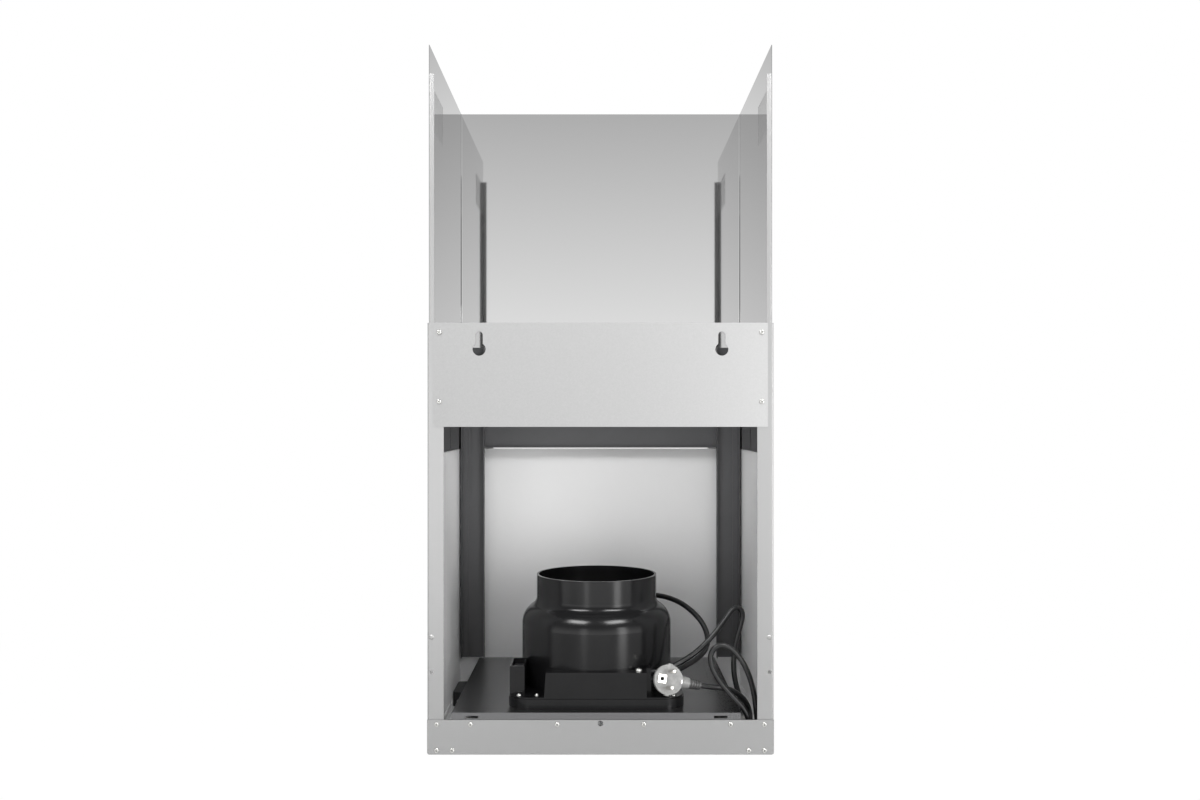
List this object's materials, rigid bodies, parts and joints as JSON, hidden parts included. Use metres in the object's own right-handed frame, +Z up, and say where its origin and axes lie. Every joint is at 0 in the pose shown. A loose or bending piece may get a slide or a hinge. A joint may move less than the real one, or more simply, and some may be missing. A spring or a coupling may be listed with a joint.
{
  "type": "range hood",
  "caption": "Open-backed wall range hood: folded steel body with blower, telescopic chimney cover, keyhole wall plate, hinged grease filter, lamps and push buttons.",
  "frame": {"origin": "midway between the centres of the two keyholes' round holes, on the wall plane", "axes": "+Z up, +Y towards the wall, +X to the right for someone who faces the hood"},
  "size_m": [0.4, 0.3053, 0.82],
  "materials": {
    "stainless": "brushed stainless sheet, bright on the inside",
    "galvanised": "galvanised sheet with a fine spangle",
    "zinc": "zinc-plated",
    "rivet_metal": "dull",
    "housing_plastic": "half-gloss moulding",
    "wheel_plastic": "dark moulding",
    "motor_paint": "satin",
    "frame_paint": "dark grey primer",
    "steel_bar": "ground",
    "capacitor_case": "smooth",
    "cord_sheath": "satin sheath",
    "plug_grey": "satin moulding",
    "contact_metal": "nickel-plated",
    "filter_metal": "bare",
    "lamp_trim": "satin",
    "lamp_glass": "frosted",
    "lamp_metal": "cast",
    "driver_plastic": "smooth",
    "control_plastic": "smooth",
    "button_metal": "satin cap"
  },
  "bodies": {
    "base": {"body_shell": "stainless", "bottom_tray": "stainless", "rear_bottom_panel": "stainless", "stop_clips": "stainless", "wall_plate": "galvanised", "motor_deck": "galvanised", "plate_screws": "zinc", "panel_screws": "zinc", "base_screws": "zinc", "housing_screws": "zinc", "clamp_screw": "zinc", "flange_rivets": "rivet_metal", "blower_base": "housing_plastic", "blower_housing": "housing_plastic", "terminal_box": "housing_plastic", "wiring_cover": "housing_plastic", "cable_clamp": "housing_plastic", "inlet_grille": "housing_plastic", "motor_carrier": "housing_plastic", "motor_case": "motor_paint", "guide_frame": "frame_paint", "flap_spindle": "steel_bar", "capacitor": "capacitor_case", "power_cord": "cord_sheath", "motor_lead": "cord_sheath", "lead_grommet": "cord_sheath", "plug_body": "plug_grey", "cord_relief": "plug_grey", "plug_pins": "contact_metal", "plug_earth_clip": "contact_metal", "plug_earth_plate": "contact_metal", "lamp_ring_left": "lamp_trim", "lamp_ring_right": "lamp_trim", "lamp_lens_left": "lamp_glass", "lamp_lens_right": "lamp_glass", "lamp_body_left": "lamp_metal", "lamp_body_right": "lamp_metal", "lamp_driver": "driver_plastic", "button_bezel": "control_plastic", "switch_block": "control_plastic"},
    "chimney": {"chimney_cover": "stainless"},
    "wheel": {"impeller": "wheel_plastic", "motor_shaft": "steel_bar"},
    "flap_rear": {"flap_rear": "wheel_plastic"},
    "flap_front": {"flap_front": "wheel_plastic"},
    "filter": {"filter_frame": "filter_metal", "filter_pins": "steel_bar", "filter_mesh": "filter_metal"},
    "latch": {"filter_latch": "wheel_plastic"},
    "button_1": {"button_1": "button_metal"},
    "button_2": {"button_2": "button_metal"},
    "button_3": {"button_3": "button_metal"},
    "button_4": {"button_4": "button_metal"},
    "button_5": {"button_5": "button_metal"}
  },
  "joints": [
    {"name": "chimney_slide", "type": "slide", "parent": "base", "child": "chimney", "axis": [0, 0, 1], "range_m": [-0.2, 0.1]},
    {"name": "wheel_spin", "type": "hinge", "parent": "base", "child": "wheel", "pos_m": [0.005, -0.117, -0.388], "axis": [0, 0, 1], "continuous": true},
    {"name": "flap_rear_swing", "type": "hinge", "parent": "base", "child": "flap_rear", "pos_m": [0.005, -0.117, -0.3005], "axis": [1, 0, 0], "range_deg": [0, 75]},
    {"name": "flap_front_swing", "type": "hinge", "parent": "base", "child": "flap_front", "pos_m": [0.005, -0.117, -0.3005], "axis": [-1, 0, 0], "range_deg": [0, 75]},
    {"name": "filter_swing", "type": "hinge", "parent": "base", "child": "filter", "pos_m": [0, -0.0412, -0.4624], "axis": [1, 0, 0], "range_deg": [0, 90]},
    {"name": "latch_slide", "type": "slide", "parent": "filter", "child": "latch", "axis": [0, -1, 0], "range_m": [0, 0.005]},
    {"name": "button_1_press", "type": "slide", "parent": "base", "child": "button_1", "axis": [0, 1, 0], "range_m": [0, 0.0025], "stiffness_N_per_m": 400, "springref_m": -0.001},
    {"name": "button_2_press", "type": "slide", "parent": "base", "child": "button_2", "axis": [0, 1, 0], "range_m": [0, 0.0025], "stiffness_N_per_m": 400, "springref_m": -0.001},
    {"name": "button_3_press", "type": "slide", "parent": "base", "child": "button_3", "axis": [0, 1, 0], "range_m": [0, 0.0025], "stiffness_N_per_m": 400, "springref_m": -0.001},
    {"name": "button_4_press", "type": "slide", "parent": "base", "child": "button_4", "axis": [0, 1, 0], "range_m": [0, 0.0025], "stiffness_N_per_m": 400, "springref_m": -0.001},
    {"name": "button_5_press", "type": "slide", "parent": "base", "child": "button_5", "axis": [0, 1, 0], "range_m": [0, 0.0025], "stiffness_N_per_m": 400, "springref_m": -0.001}
  ]
}
